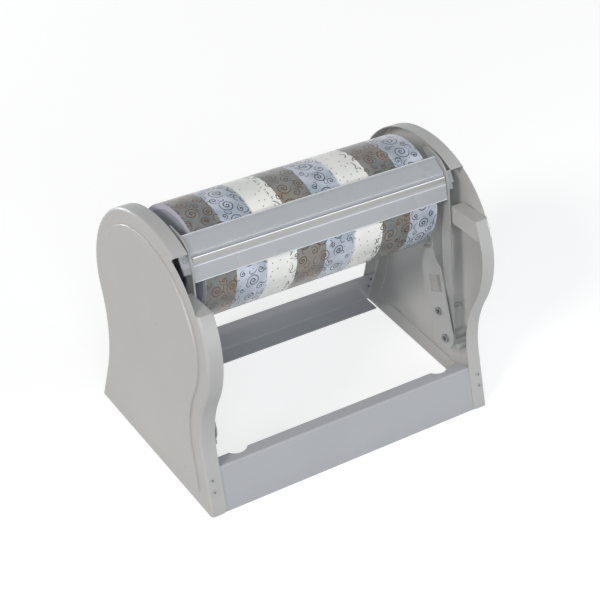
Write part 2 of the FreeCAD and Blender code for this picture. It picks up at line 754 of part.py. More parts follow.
def neck(radius, turn, straight):
    """Hollow round of the neck, a straight's length off the knee in one direction."""
    both = bracket_knee_radius + radius
    y, z = swung(bracket_knee_y, bracket_knee_z, root(both * both + straight * straight), turn)
    return y, z, radius, -1


def make_right_bracket():
    body = new_body("bracket_outline")
    deep = bracket_wall + bracket_joggle
    plate = new_sketch(body, "YZ_Plane", "PlateOutline", bracket_x)
    knee = (bracket_knee_y, bracket_knee_z, bracket_knee_radius, 1)
    add_belt(plate, [(pivot_y + bracket_foot_back, pivot_z, bracket_foot_radius, 1), knee,
                     neck(neck_back_radius, neck_back_turn, neck_back_straight),
                     (roll_y, roll_z, bracket_head_radius, 1),
                     neck(neck_front_radius, neck_front_turn, neck_front_straight), knee])
    pad(body, plate, deep, "Plate")
    window = new_sketch(body, "YZ_Plane", "WindowOutline", bracket_x)
    along_y, along_z = sine(bracket_lean), cosine(bracket_lean)
    corners = []
    for across, along in ((-1.0, -1.0), (1.0, -1.0), (1.0, 1.0), (-1.0, 1.0)):
        w = window_wide * (across / 2.0)
        q = window_tall * (along / 2.0)
        corners.append((window_y + w * along_z + q * along_y, window_z - w * along_y + q * along_z))
    add_polygon(window, corners)
    pocket(body, window, deep, "Window")
    slot_half = shaft_radius + bush_wall + fit
    slot = new_sketch(body, "YZ_Plane", "SlotOutline", bracket_x)
    add_circle(slot, roll_y, roll_z, slot_half)
    pocket(body, slot, deep, "SlotSeat")
    mouth = new_sketch(body, "YZ_Plane", "MouthOutline", bracket_x)
    high = roll_z + bracket_head_radius + 5.0
    add_polygon(mouth, [(roll_y - slot_half, roll_z), (roll_y + slot_half, roll_z),
                        (roll_y + slot_half, high), (roll_y - slot_half, high)])
    pocket(body, mouth, deep, "SlotMouth")
    for name, y, z, radius in (("Pivot", pivot_y, pivot_z, pivot_radius),
                               ("Spacer", spacer_y, spacer_z, screw_shank)):
        bore = new_sketch(body, "YZ_Plane", name + "Bore", bracket_x)
        add_circle(bore, y, z, radius + hole_clearance)
        pocket(body, bore, deep, name + "Hole")
    fold = new_body("bracket_fold")
    profile = new_sketch(fold, "XZ_Plane", "FoldProfile", -(bracket_head_radius * 4.0))
    low = -(bracket_foot_radius * 3.0)
    high = joggle_start * 3.0
    ramp_end = joggle_start + bracket_joggle + 2.0
    add_polygon(profile, [(bracket_x, low), (bracket_back_x, low), (bracket_back_x, joggle_start),
                          (bracket_back_x + bracket_joggle, ramp_end),
                          (bracket_back_x + bracket_joggle, high),
                          (bracket_head_x, high), (bracket_head_x, ramp_end + 1.0),
                          (bracket_x, joggle_start + 1.0)])
    pad(fold, profile, bracket_head_radius * 8.0, "Fold")
    fold.Placement = FreeCAD.Placement(V(0, 0, 0), FreeCAD.Rotation(V(-1, 0, 0), 10))
    bind(fold, "Placement.Base.y", pivot_y)
    bind(fold, "Placement.Base.z", pivot_z)
    bind(fold, "Placement.Rotation.Angle", bracket_lean)
    item = doc.addObject("Part::MultiCommon", "RightBracket")
    item.Shapes = [body, fold]
    return item


right_bracket = node(make_right_bracket(), "right_axle_bracket")
node(mirrored("LeftBracket", right_bracket), "left_axle_bracket")


def socket_head(name, radius, height, y, z):
    """A round head on the bracket's inner face, with a socket in it."""
    head = rod(name + "Head", radius, height, bracket_x - height, y, z)
    return cut(name + "Top", head, rod(name + "Socket", socket_radius, socket_depth * 2.0,
                                       bracket_x - height - socket_depth, y, z))


# The spacer tube stands between the bracket and the panel, the stop pin on the panel alone.
stand_off = panel_inner_x - bracket_back_x
spacer_tube = rod("SpacerTube", spacer_radius, stand_off, bracket_back_x, spacer_y, spacer_z)
spacer_bore = rod("SpacerBore", screw_shank + hole_clearance, stand_off + 2.0, bracket_back_x - 1.0,
                  spacer_y, spacer_z)
right_spacer = node(cut("RightSpacer", spacer_tube, spacer_bore), "right_bracket_spacer")
node(mirrored("LeftSpacer", right_spacer), "left_bracket_spacer")
stop_x = arm_x - 1.5
right_stop = node(rod("RightStop", stop_pin_radius, panel_inner_x - stop_x, stop_x, pivot_y - stop_pin_reach,
                      pivot_z - stop_pin_drop), "right_stop_pin")
node(mirrored("LeftStop", right_stop), "left_stop_pin")
screw_body = rod("SpacerScrewShank", screw_shank, bracket_wall + stand_off / 2.0, bracket_x,
                 spacer_y, spacer_z)
screw_top = socket_head("SpacerScrew", button_head, button_height, spacer_y, spacer_z)
right_screw = fuse("RightSpacerScrew", [screw_body, screw_top])
left_screw = mirrored("LeftSpacerScrew", right_screw)
node(group("BracketScrews", [right_screw, left_screw]), "bracket_screws")


def u_section(sketch, half_width, top):
    """Round below and straight-sided up to top, centred on the axle."""
    centre = flat(roll_y, roll_z)
    left = V(centre.x - half_width.value, centre.y, 0)
    right = V(centre.x + half_width.value, centre.y, 0)
    rise = V(0, top.value - roll_z.value, 0)
    arc = add_arc(sketch, centre, half_width.value, left, right)
    right_line = sketch.addGeometry(Part.LineSegment(right, right + rise), False)
    top_line = sketch.addGeometry(Part.LineSegment(right + rise, left + rise), False)
    left_line = sketch.addGeometry(Part.LineSegment(left + rise, left), False)
    constrain(sketch, "Tangent", arc, 2, right_line, 1)
    constrain(sketch, "Coincident", right_line, 2, top_line, 1)
    constrain(sketch, "Coincident", top_line, 2, left_line, 1)
    constrain(sketch, "Tangent", left_line, 2, arc, 1)
    constrain(sketch, "DistanceX", arc, 3, roll_y)
    constrain(sketch, "DistanceY", arc, 3, roll_z)
    constrain(sketch, "Radius", arc, half_width)
    constrain(sketch, "Horizontal", top_line)
    constrain(sketch, "Vertical", right_line)
    constrain(sketch, "DistanceY", right_line, 2, top)


def make_right_bush():
    body = new_body("right_axle_bush")
    sleeve = new_sketch(body, "YZ_Plane", "SleeveOutline", bracket_head_x)
    top = roll_z + bush_height
    u_section(sleeve, shaft_radius + bush_wall, top)
    pad(body, sleeve, bracket_wall + bush_flange, "Sleeve")
    collar = new_sketch(body, "YZ_Plane", "CollarOutline", bracket_head_x - bush_flange)
    u_section(collar, shaft_radius + bush_wall * 2.0, top)
    pad(body, collar, bush_flange, "Collar")
    slot = new_sketch(body, "YZ_Plane", "SlotOutline", bracket_head_x - bush_flange)
    u_section(slot, shaft_radius + fit, top + 5.0)
    pocket(body, slot, bush_flange * 2.0 + bracket_wall + 1.0, "Slot")
    return body


right_bush = node(make_right_bush(), "right_axle_bush")
node(mirrored("LeftBush", right_bush), "left_axle_bush")

# Pivot of each arm: a shoulder bolt through the bracket into a boss welded to the panel.
boss_x = arm_x + arm_wall + 6.5
boss = rod("BossBody", boss_radius, panel_inner_x - boss_x, boss_x, pivot_y, pivot_z)
boss_bore = rod("BossBore", pivot_tail_radius + hole_clearance, pivot_tail + 2.0, boss_x - 1.0,
                pivot_y, pivot_z)
right_boss = node(cut("RightBoss", boss, boss_bore), "right_pivot_boss")
node(mirrored("LeftBoss", right_boss), "left_pivot_boss")
bolt_head = socket_head("Bolt", pivot_head_radius, pivot_head_height, pivot_y, pivot_z)
bolt_shank = rod("BoltShank", pivot_radius, boss_x - bracket_x, bracket_x, pivot_y, pivot_z)
bolt_tail = rod("BoltTail", pivot_tail_radius, pivot_tail, boss_x, pivot_y, pivot_z)
right_bolt = node(fuse("RightBolt", [bolt_head, bolt_shank, bolt_tail]), "right_pivot_bolt")
node(mirrored("LeftBolt", right_bolt), "left_pivot_bolt")

# Roll: paper on its core, plugs, shaft and collars.
roll_start = -(roll_width / 2.0)
paper = rod("PaperBody", roll_radius, roll_width, roll_start, roll_y, roll_z)
paper_bore = rod("PaperBore", core_radius + fit, roll_width + 2.0, roll_start - 1.0, roll_y, roll_z)
node(cut("Paper", paper, paper_bore), "paper_roll")
core = rod("CoreBody", core_radius, roll_width, roll_start, roll_y, roll_z)
core_bore = rod("CoreBore", core_radius - core_wall, roll_width + 2.0, roll_start - 1.0, roll_y, roll_z)
node(cut("Core", core, core_bore), "core_tube")
plug_x = roll_width / 2.0
plug_flange = rod("PlugFlange", plug_flange_radius, plug_flange_wall, plug_x, roll_y, roll_z)
plug_spigot = rod("PlugSpigot", core_radius - core_wall - fit, plug_reach, plug_x - plug_reach,
                  roll_y, roll_z)
plug_bore = rod("PlugBore", shaft_radius + fit, plug_reach + plug_flange_wall + 2.0,
                plug_x - plug_reach - 1.0, roll_y, roll_z)
plug_body = fuse("PlugBody", [plug_flange, plug_spigot])
right_plug = node(cut("RightPlug", plug_body, plug_bore), "right_core_plug")
node(mirrored("LeftPlug", right_plug), "left_core_plug")
shaft_reach = bracket_head_x + bracket_wall + bush_flange - 0.5
node(rod("Shaft", shaft_radius, shaft_reach * 2.0, -shaft_reach, roll_y, roll_z), "roll_shaft")
collar_x = plug_x + plug_flange_wall
collar_length = bracket_head_x - bush_flange - running_gap - collar_x
collar = rod("CollarBody", collar_radius, collar_length, collar_x, roll_y, roll_z)
collar_bore = rod("CollarBore", shaft_radius + fit, collar_length + 2.0, collar_x - 1.0, roll_y, roll_z)
right_collar = node(cut("RightCollar", collar, collar_bore), "right_shaft_collar")
node(mirrored("LeftCollar", right_collar), "left_shaft_collar")


def make_right_arm():
    body = new_body("right_cutter_arm")
    outline = new_sketch(body, "YZ_Plane", "ArmOutline", arm_x)
    add_belt(outline, [(pivot_y, pivot_z, arm_heel_radius, -1),
                       (roll_y - arm_shoulder_fore, roll_z + arm_shoulder_rise,
                        roll_radius - arm_shoulder_inset, -1),
                       (roll_y - arm_tip_fore, roll_z + roll_radius - arm_tip_drop, arm_tip_radius, -1),
                       (roll_y, roll_z, hollow_radius, 1)])
    pad(body, outline, arm_wall, "Arm")
    bore = new_sketch(body, "YZ_Plane", "BoreOutline", arm_x)
    add_circle(bore, pivot_y, pivot_z, arm_bush_radius)
    pocket(body, bore, arm_wall, "Bore")
    slot = new_sketch(body, "YZ_Plane", "SlotOutline", arm_x)
    add_polygon(slot, carrier_corners(fit * 2.0))
    pocket(body, slot, arm_wall, "CarrierSlot")
    return body


def bar_point(out, up):
    """Point of the bar's section, out from the axle and up along the paper."""
    return (roll_y - out * cosine(bar_tilt) + up * sine(bar_tilt),
            roll_z + out * sine(bar_tilt) + up * cosine(bar_tilt))


carrier_in = roll_radius + running_gap
carrier_out = carrier_in + carrier_wall


def carrier_corners(gap):
    half = carrier_half + gap
    return [bar_point(carrier_in - gap, -half), bar_point(carrier_out + gap, -half),
            bar_point(carrier_out + gap, half), bar_point(carrier_in - gap, half)]


def extruded(label, points, reach):
    """A body of one section, running from -reach to +reach along X."""
    body = new_body(label)
    section = new_sketch(body, "YZ_Plane", "Section", -reach)
    add_polygon(section, [bar_point(out, up) for out, up in points])
    pad(body, section, reach * 2.0)
    return body


right_arm = node(make_right_arm(), "right_cutter_arm")
node(mirrored("LeftArm", right_arm), "left_cutter_arm")
carrier_end = arm_x + arm_wall + carrier_reach
land = carrier_out + plate_wall
carrier_bar = extruded("carrier_bar", [(carrier_in, -carrier_half), (carrier_out, -carrier_half),
                                       (carrier_out, carrier_half), (carrier_in, carrier_half)], carrier_end)

# Upper plate: from its free edge down to a ridge, then a web and a foot on the carrier.
plate_reach = arm_x - plate_end_gap
ridge_out = carrier_out + upper_ridge_rise
edge_out = ridge_out - upper_edge_drop
upper_slope = upper_edge_drop / (upper_edge_up - upper_web_up)
upper_skin = plate_wall * root(upper_slope * upper_slope + 1.0)
web_back = upper_web_up + plate_wall
hem_out = edge_out + hem_wide * upper_slope
inner_ridge_out = ridge_out - plate_wall * upper_slope - upper_skin
upper_plate = extruded("upper_plate", [
    (edge_out + upper_skin, upper_edge_up), (hem_out + upper_skin, upper_edge_up - hem_wide),
    (hem_out, upper_edge_up - hem_wide), (ridge_out, upper_web_up),
    (land, upper_web_up), (land, upper_foot_up),
    (carrier_out, upper_foot_up), (carrier_out, web_back), (inner_ridge_out, web_back),
    (edge_out - upper_skin, upper_edge_up)], plate_reach)
fillet(upper_plate, plate_bend, any_of(bend_at(*bar_point(ridge_out, upper_web_up)),
                                       bend_at(*bar_point(carrier_out, web_back))), "OuterBends")
fillet(upper_plate, plate_bend - plate_wall, any_of(bend_at(*bar_point(inner_ridge_out, web_back)),
                                                    bend_at(*bar_point(land, upper_web_up))), "InnerBends")
fillet(upper_plate, plate_wall * 0.9, bend_at(*bar_point(edge_out + upper_skin, upper_edge_up)), "HemRound")
node(upper_plate, "upper_plate")

# Lower plate: a raised tear lip, a land on the carrier and a skirt over the paper.
tip_out = land + lip_rise
lip_slope = lip_rise / (lip_tip_up - land_top_up)
lip_skin = plate_wall * root(lip_slope * lip_slope + 1.0)
skirt_slope = lower_edge_drop / (land_bottom_up - lower_edge_up)
skirt_skin = plate_wall * root(skirt_slope * skirt_slope + 1.0)
skirt_out = land - lower_edge_drop
lip_root_up = lip_tip_up - (tip_out - lip_skin - carrier_out) / lip_slope
skirt_root_up = land_bottom_up + (skirt_skin - plate_wall) / skirt_slope
lower_plate = extruded("lower_plate", [
    (tip_out, lip_tip_up), (land, land_top_up), (land, land_bottom_up), (skirt_out, lower_edge_up),
    (skirt_out - skirt_skin, lower_edge_up), (carrier_out, skirt_root_up), (carrier_out, lip_root_up),
    (tip_out - lip_skin, lip_tip_up)], plate_reach)
fillet(lower_plate, plate_bend, any_of(bend_at(*bar_point(land, land_bottom_up)),
                                       bend_at(*bar_point(carrier_out, lip_root_up))), "OuterBends")
fillet(lower_plate, plate_bend - plate_wall,
       any_of(bend_at(*bar_point(land, land_top_up)),
              bend_at(*bar_point(carrier_out, skirt_root_up))), "InnerBends")
node(lower_plate, "lower_plate")

# Blade: a bevelled strip on the outside of the tear lip.
blade_skin = blade_wall * root(lip_slope * lip_slope + 1.0)
blade_low = land_top_up + 1.0
blade_top = lip_tip_up + blade_overhang


def lip_out(up):
    return tip_out + (up - lip_tip_up) * lip_slope


tear_blade = extruded("tear_blade", [
    (lip_out(blade_low), blade_low), (lip_out(blade_low) + blade_skin, blade_low),
    (lip_out(lip_tip_up) + blade_skin, lip_tip_up), (lip_out(blade_top), blade_top)], plate_reach - 2.0)
node(tear_blade, "tear_blade")

# Lugs welded outside the arms, and the end screws that hold the carrier to them.
screw_turn = as_size(90.0) - bar_tilt
end_screw_x = arm_x + arm_wall + lug_wide / 2.0
lug_in = carrier_in - lug_wall
end_screws = []
end_holes = []
for sign, hand in ((1.0, "right"), (-1.0, "left")):
    x = end_screw_x * sign
    seat = bar_point(carrier_out, none)
    below = bar_point(lug_in, none)
    length = carrier_wall + lug_wall + screw_head_height / 2.0
    shank = leaning_rod("EndShank_" + hand, screw_shank, length, screw_turn, x, below[0], below[1])
    head = leaning_rod("EndHead_" + hand, screw_head, screw_head_height, screw_turn, x, seat[0], seat[1])
    end_screws.append(fuse("EndScrew_" + hand, [shank, head]))
    under = bar_point(lug_in - 1.0, none)
    end_holes.append(leaning_rod("EndHole_" + hand, screw_shank + hole_clearance, length + 4.0, screw_turn, x,
                                 under[0], under[1]))
    start = arm_x + arm_wall if sign > 0 else -(arm_x + arm_wall + lug_wide)
    lug = new_body("lug_" + hand)
    section = new_sketch(lug, "YZ_Plane", "Section", start)
    add_polygon(section, [bar_point(lug_in, lug_down), bar_point(carrier_in, lug_down),
                          bar_point(carrier_in, lug_up), bar_point(lug_in, lug_up)])
    pad(lug, section, lug_wide)
    node(cut("Lug_" + hand, lug, end_holes[-1]), hand + "_arm_lug")
node(cut("Carrier", carrier_bar, fuse("CarrierHoles", end_holes)), "bar_carrier")
node(group("EndScrews", end_screws), "bar_end_screws")

# Pivot bush of each arm, between the bracket and the boss.
bush_start = bracket_back_x + running_gap
bush_length = boss_x - running_gap - bush_start
arm_bush = rod("ArmBushBody", arm_bush_radius, bush_length, bush_start, pivot_y, pivot_z)
arm_bush_ring = rod("ArmBushRing", arm_bush_flange, arm_x - bush_start, bush_start, pivot_y, pivot_z)
arm_bush_bore = rod("ArmBushBore", pivot_radius + fit, bush_length + 2.0, bush_start - 1.0, pivot_y, pivot_z)
right_arm_bush = node(cut("RightArmBush", fuse("ArmBushSolid", [arm_bush, arm_bush_ring]), arm_bush_bore),
                      "right_pivot_bush")
node(mirrored("LeftArmBush", right_arm_bush), "left_pivot_bush")

doc.recompute()
for item in doc.Objects:
    if "Invalid" in item.State or "Error" in item.State:
        raise RuntimeError("%s failed: %s" % (item.Label, item.State))
for item in nodes:
    if item.Shape.isNull() or not item.Shape.isValid():
        raise RuntimeError("%s has no valid shape" % item.Label)

os.makedirs("parts", exist_ok=True)
for item in nodes:
    item.Shape.exportStep("parts/%s.step" % item.Label)
    print("%-24s %10.1f mm3" % (item.Label, item.Shape.Volume))
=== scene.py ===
import math

import bpy
from mathutils import Matrix, Vector

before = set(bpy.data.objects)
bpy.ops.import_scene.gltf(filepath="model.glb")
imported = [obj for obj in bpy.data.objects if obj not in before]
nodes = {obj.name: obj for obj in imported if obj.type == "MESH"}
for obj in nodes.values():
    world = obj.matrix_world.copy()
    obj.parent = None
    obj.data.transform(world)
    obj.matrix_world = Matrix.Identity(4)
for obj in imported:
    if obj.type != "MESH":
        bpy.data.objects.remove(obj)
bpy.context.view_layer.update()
scene = bpy.context.scene

# Places on the part that the looks follow, in metres. A pair is (y, z).
ROLL_Y, ROLL_Z = 0.048, 0.346
ROLL_RADIUS = 0.103
ROLL_HALF_LENGTH = 0.240
# The roll's ends carry a painted highlight outside this radius.
RIM_HIGHLIGHT_RADIUS = 0.0935
BAND = 0.060
PANEL_OUTER_X = 0.300
PANEL_DIMPLES = ((-0.117, 0.047), (-0.008, 0.281))
RAIL_SCREW_X = 0.288
RAIL_SCREW_LOW = 0.0406
RAIL_SCREW_STEP = 0.020
BRACKET_SCREW = (-0.086, 0.156)
PIVOT_BOLT = (-0.116, 0.114)
# Radius of the painted shade inside each screw socket.
SOCKET_RADIUS = 0.0026

# The cutter bar leans by this angle. Its bends are heights up that slope from the roll's axis.
BAR_TILT = math.radians(39.0)
# Painted highlight lines run along these bends.
PLATE_BENDS = (0.0412, 0.0094, -0.0117, -0.0374)
BLADE_BENDS = (0.0017,)

# How much the grain of a metal is squeezed along X, Y and Z.
DRAWN_GRAIN = (1.0, 40.0, 40.0)
EVEN_GRAIN = (60.0, 60.0, 60.0)

# The floor lies just under the feet. It glows, and the sky is bright, only where they are seen.
FLOOR_REACH = 30.0
FLOOR_DROP = 0.0002
FLOOR_GLOW = 0.72
SKY_LEVEL = 0.14
COOL = (0.93, 0.97, 1.0)
WARM = (1.0, 0.88, 0.76)

# Name, place, target, width and height, power and colour of each lamp.
LAMPS = (
    ("back", (-1.0, 3.0, 0.5), (0.0, 0.0, 0.2), (1.6, 0.8), 34.0, COOL),
    ("right", (3.0, -0.7, 0.4), (0.0, 0.0, 0.2), (1.6, 0.7), 32.0, COOL),
    ("strip", (0.9, -0.55, 1.6), (0.0, -0.08, 0.4), (0.16, 1.6), 2.0, COOL),
    ("front", (0.5, -2.4, 1.0), (0.0, 0.0, 0.1), (1.6, 0.8), 10.5, COOL),
    ("fill", (-1.3, -2.0, 1.9), (0.0, 0.0, 0.25), (1.5, 1.5), 33.0, COOL),
    ("warm_side", (-3.0, -0.4, 0.5), (-0.3, 0.0, 0.2), (1.2, 1.2), 5.0, WARM),
)


def make_camera():
    """Camera at the photograph's place."""
    data = bpy.data.cameras.new("camera")
    data.lens = 101.9
    data.sensor_width = 36.0
    data.clip_start = 0.05
    data.clip_end = 50.0
    camera = bpy.data.objects.new("camera", data)
    scene.collection.objects.link(camera)
    right = Vector((0.82035, -0.56555, 0.08471))
    up = Vector((0.28722, 0.53558, 0.79414))
    back = Vector((-0.49450, -0.62714, 0.60180))
    place = Vector((-1.4822, -1.8771, 2.0167))
    turn = Matrix((right, up, back)).transposed().to_4x4()
    camera.matrix_world = Matrix.Translation(place) @ turn
    scene.camera = camera


class Graph:
    """Short names for building one material's nodes."""

    def __init__(self, name):
        self.material = bpy.data.materials.new(name)
        self.material.use_nodes = True
        self.tree = self.material.node_tree
        self.shader = self.tree.nodes["Principled BSDF"]
        self.place = self.tree.nodes.new("ShaderNodeTexCoord").outputs["Object"]

    def link(self, value, socket):
        """Give a socket its value: another node's result, or a constant."""
        if isinstance(value, bpy.types.NodeSocket):
            self.tree.links.new(value, socket)
        else:
            socket.default_value = value

    def set(self, name, value):
        self.link(value, self.shader.inputs[name])

    def math(self, operation, a, b=0.0, c=0.0):
        node = self.tree.nodes.new("ShaderNodeMath")
        node.operation = operation
        for socket, value in zip(node.inputs, (a, b, c)):
            self.link(value, socket)
        return node.outputs[0]

    def add(self, a, b):
        return self.math("ADD", a, b)

    def sub(self, a, b):
        return self.math("SUBTRACT", a, b)

    def mul(self, a, b):
        return self.math("MULTIPLY", a, b)

    def abs(self, value):
        return self.math("ABSOLUTE", value)

    def flip(self, value):
        """1 becomes 0, and 0 becomes 1."""
        return self.sub(1.0, value)

    def length(self, a, b):
        """Distance of the point (a, b) from nought."""
        return self.math("SQRT", self.add(self.mul(a, a), self.mul(b, b)))

    def far(self, y, z, point):
        """Distance of (y, z) from a point."""
        return self.length(self.sub(y, point[0]), self.sub(z, point[1]))

    def axes(self):
        node = self.tree.nodes.new("ShaderNodeSeparateXYZ")
        self.link(self.place, node.inputs[0])
        return node.outputs[0], node.outputs[1], node.outputs[2]

    def vector(self, x, y, z):
        node = self.tree.nodes.new("ShaderNodeCombineXYZ")
        for socket, value in zip(node.inputs, (x, y, z)):
            self.link(value, socket)
        return node.outputs[0]

    def noise(self, scale, detail, rough=0.5, vector=None):
        node = self.tree.nodes.new("ShaderNodeTexNoise")
        self.link(self.place if vector is None else vector, node.inputs["Vector"])
        node.inputs["Scale"].default_value = scale
        node.inputs["Detail"].default_value = detail
        node.inputs["Roughness"].default_value = rough
        return node.outputs["Fac"]

    def chance(self, a, b, seed):
        """A random number from 0 to 1 for each pair of whole numbers."""
        node = self.tree.nodes.new("ShaderNodeTexWhiteNoise")
        node.noise_dimensions = "3D"
        self.link(self.vector(a, b, seed), node.inputs["Vector"])
        return node.outputs["Value"]

    def ramp(self, value, low, high):
        """0 below low, 1 above high, smooth between."""
        node = self.tree.nodes.new("ShaderNodeMapRange")
        node.interpolation_type = "SMOOTHSTEP"
        self.link(value, node.inputs["Value"])
        self.link(low, node.inputs["From Min"])
        self.link(high, node.inputs["From Max"])
        return node.outputs["Result"]

    def fade(self, value, low, high):
        """1 below low, 0 above high, smooth between."""
        return self.flip(self.ramp(value, low, high))

    def span(self, value, low, high):
        """Value from 0..1 to low..high."""
        node = self.tree.nodes.new("ShaderNodeMapRange")
        self.link(value, node.inputs["Value"])
        node.inputs["To Min"].default_value = low
        node.inputs["To Max"].default_value = high
        return node.outputs["Result"]

    def mix(self, share, a, b):
        """Colour a where share is 0, and b where it is 1."""
        node = self.tree.nodes.new("ShaderNodeMix")
        node.data_type = "RGBA"
        self.link(share, node.inputs["Factor"])
        self.link(a, node.inputs["A"])
        self.link(b, node.inputs["B"])
        return node.outputs["Result"]

    def bump(self, height, depth, strength):
        node = self.tree.nodes.new("ShaderNodeBump")
        node.inputs["Strength"].default_value = strength
        node.inputs["Distance"].default_value = depth
        self.link(height, node.inputs["Height"])
        self.set("Normal", node.outputs["Normal"])


def rgb(red, green, blue):
    """A colour given as the screen shows it, from 0 to 255."""
    def linear(value):
        value /= 255.0
        return value / 12.92 if value <= 0.04045 else ((value + 0.055) / 1.055) ** 2.4
    return (linear(red), linear(green), linear(blue), 1.0)


def shade(color, factor):
    """The colour made darker or lighter."""
    return (color[0] * factor, color[1] * factor, color[2] * factor, 1.0)


def painted_bend_highlights(g, tone, bends, color):
    """Painted highlight lines along the bends of the bar, where the bends catch the light."""
    if not bends:
        return tone
    _, y, z = g.axes()
    across = g.mul(g.sub(y, ROLL_Y), math.sin(BAR_TILT))
    rise = g.mul(g.sub(z, ROLL_Z), math.cos(BAR_TILT))
    up = g.add(across, rise)
    # Noise breaks the painted highlight lines into patches.
    wear_and_highlight_share = g.span(g.noise(40.0, 2.0), 0.55, 1.0)
    for bend in bends:
        bend_highlight = g.fade(g.abs(g.sub(up, bend)), 0.0003, 0.0015)
        tone = g.mix(g.mul(bend_highlight, wear_and_highlight_share), tone, color)
    return tone


def powder_coat(name, color, roughness, dimples=(), bends=()):
    """Baked coat over sheet: faint orange peel, small flecks, cloudy tone, handling marks and
    darker patches near the floor. Each dimple is a small pit in the outer faces of the end
    panels, with painted shade in it. Each bend gets a painted highlight line."""
    g = Graph(name)
    x, y, z = g.axes()
    tone = g.mix(g.noise(9.0, 3.0), shade(color, 0.95), shade(color, 1.05))
    fleck = g.ramp(g.noise(1500.0, 1.0), 0.60, 0.72)
    tone = g.mix(g.mul(fleck, 0.10), tone, shade(color, 0.75))
    # Darker in patches towards the floor, within 30 mm of it.
    darker_near_floor = g.mul(g.fade(z, 0.0, 0.030), g.noise(60.0, 3.0))
    tone = g.mix(g.mul(darker_near_floor, 0.22), tone, shade(color, 0.62))
    peel = g.noise(520.0, 2.0, 0.55)
    for dimple in dimples:
        pit = g.fade(g.far(y, z, dimple), 0.0008, 0.0018)
        pit = g.mul(pit, g.math("GREATER_THAN", g.abs(x), PANEL_OUTER_X - 0.001))
        # Painted shade: each pit is darkened towards 45% of the coat's tone.
        tone = g.mix(g.mul(pit, 0.8), tone, shade(color, 0.45))
        peel = g.sub(peel, g.mul(pit, 3.0))
    smear = g.ramp(g.noise(14.0, 2.0), 0.3, 0.75)
    # Each bend gets a painted highlight line in near-white.
    g.set("Base Color", painted_bend_highlights(g, tone, bends, rgb(232, 234, 238)))
    g.set("Roughness", g.add(roughness, g.mul(smear, 0.04)))
    g.set("Coat Weight", 0.25)
    g.set("Coat Roughness", 0.16)
    g.bump(peel, 0.00006, 0.6)
    return g.material


def painted_screw(name, color):
    """Screw heads under the coat, with painted shade in a recessed cross: two on each rim,
    at a rail's ends.
    """
    g = Graph(name)
    x, _, z = g.axes()
    half_step = RAIL_SCREW_STEP / 2.0
    side = g.abs(g.sub(g.abs(x), RAIL_SCREW_X))
    rise = g.math("FLOORED_MODULO", g.sub(z, RAIL_SCREW_LOW - half_step), RAIL_SCREW_STEP)
    rise = g.abs(g.sub(rise, half_step))
    slim = g.fade(g.math("MINIMUM", side, rise), 0.0003, 0.0007)
    near = g.fade(g.math("MAXIMUM", side, rise), 0.0018, 0.0022)
    cross_recess_and_shade = g.mul(slim, near)
    worn = g.ramp(g.noise(700.0, 3.0), 0.5, 0.7)
    tone = g.mix(g.mul(worn, 0.35), color, shade(color, 0.6))
    # Painted shade: the recessed cross is coloured near-black.
    g.set("Base Color", g.mix(cross_recess_and_shade, tone, rgb(28, 28, 30)))
    g.set("Metallic", 0.25)
    g.set("Roughness", g.span(worn, 0.32, 0.5))
    g.bump(g.sub(g.mul(worn, 0.1), cross_recess_and_shade), 0.0004, 0.8)
    return g.material


def metal(name, color, roughness, squeeze, wear_and_highlight_share, shaded_sockets=(), bends=()):
    """Bare metal with a fine grain and small dull spots. Each socket gets painted shade, a
    dark disc, and each bend a painted highlight line.
    """
    g = Graph(name)
    x, y, z = g.axes()
    squeezed = g.vector(g.mul(x, squeeze[0]), g.mul(y, squeeze[1]), g.mul(z, squeeze[2]))
    grain = g.noise(90.0, 3.0, 0.6, squeezed)
    spot = g.ramp(g.noise(300.0, 2.0), 0.58, 0.75)
    tone = g.mix(grain, shade(color, 0.88), shade(color, 1.06))
    tone = g.mix(g.mul(spot, wear_and_highlight_share), tone, shade(color, 0.6))
    for socket in shaded_sockets:
        # Painted shade: a near-black disc inside each socket.
        socket_shade = g.math("LESS_THAN", g.far(y, z, socket), SOCKET_RADIUS)
        tone = g.mix(socket_shade, tone, rgb(34, 34, 36))
    # Each bend gets a painted highlight line in white.
    g.set("Base Color", painted_bend_highlights(g, tone, bends, rgb(244, 244, 244)))
    g.set("Metallic", 1.0)
    g.set("Roughness", g.span(grain, roughness * 0.85, roughness * 1.3))
    g.bump(grain, 0.00002, 0.4)
    return g.material


def moulded(name, color):
    """Moulded plastic with a fine matt grain."""
    g = Graph(name)
    g.set("Base Color", g.mix(g.noise(60.0, 3.0), shade(color, 0.9), shade(color, 1.08)))
    g.set("Roughness", g.span(g.noise(900.0, 2.0), 0.42, 0.58))
    g.bump(g.noise(1100.0, 2.0), 0.00004, 0.5)
    return g.material


def card(name, color):
    """Board with visible fibres."""
    g = Graph(name)
    fibre = g.noise(700.0, 4.0, 0.65)
    cloud = g.noise(45.0, 3.0)
    tone = g.mix(fibre, shade(color, 0.78), shade(color, 1.12))
    g.set("Base Color", g.mix(g.mul(cloud, 0.5), tone, shade(color, 0.9)))
    g.set("Roughness", 0.85)
    g.bump(fibre, 0.0001, 0.6)
    return g.material


def cell(g, value, step, shift):
    """Number of the cell that a value falls in, and the distance from that cell's middle."""
    scaled = g.add(g.math("DIVIDE", value, step), shift)
    number = g.math("FLOOR", scaled)
    return number, g.mul(g.sub(g.sub(scaled, number), 0.5), step)


